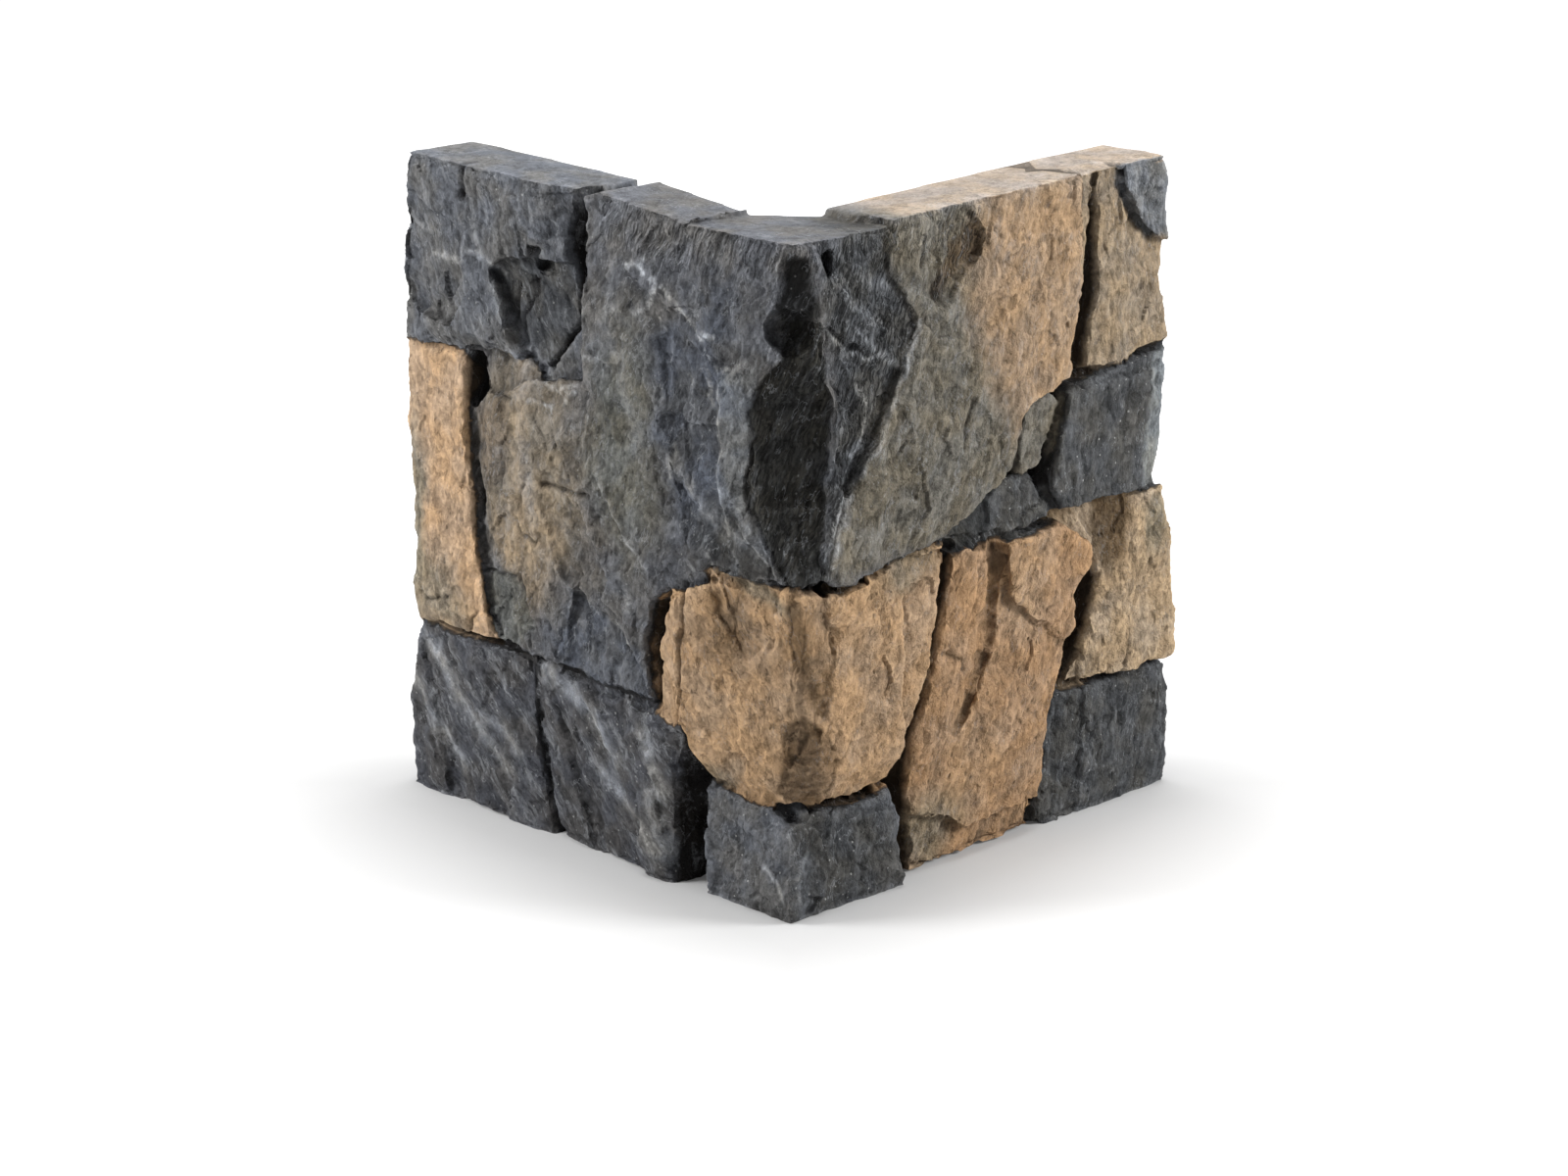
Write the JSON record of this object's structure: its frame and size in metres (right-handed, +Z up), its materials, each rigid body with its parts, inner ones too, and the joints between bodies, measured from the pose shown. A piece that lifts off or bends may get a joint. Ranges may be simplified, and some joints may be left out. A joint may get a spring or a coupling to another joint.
{
  "type": "cast stone corner unit",
  "caption": "L-shaped cast stone corner for cladding an outside wall corner, rock-faced stones and raked joints moulded in one piece with flat backs.",
  "frame": {"origin": "centre of the overall box, at the level of the bed", "axes": "+Z up; the left wing's stone face looks along -Y and the right wing's along +X, so the outer arris points to +X -Y"},
  "size_m": [0.345, 0.345, 0.4],
  "materials": {
    "stone": "matt, rock-faced"
  },
  "bodies": {
    "root": {"corner_stone": "stone"}
  },
  "joints": []
}
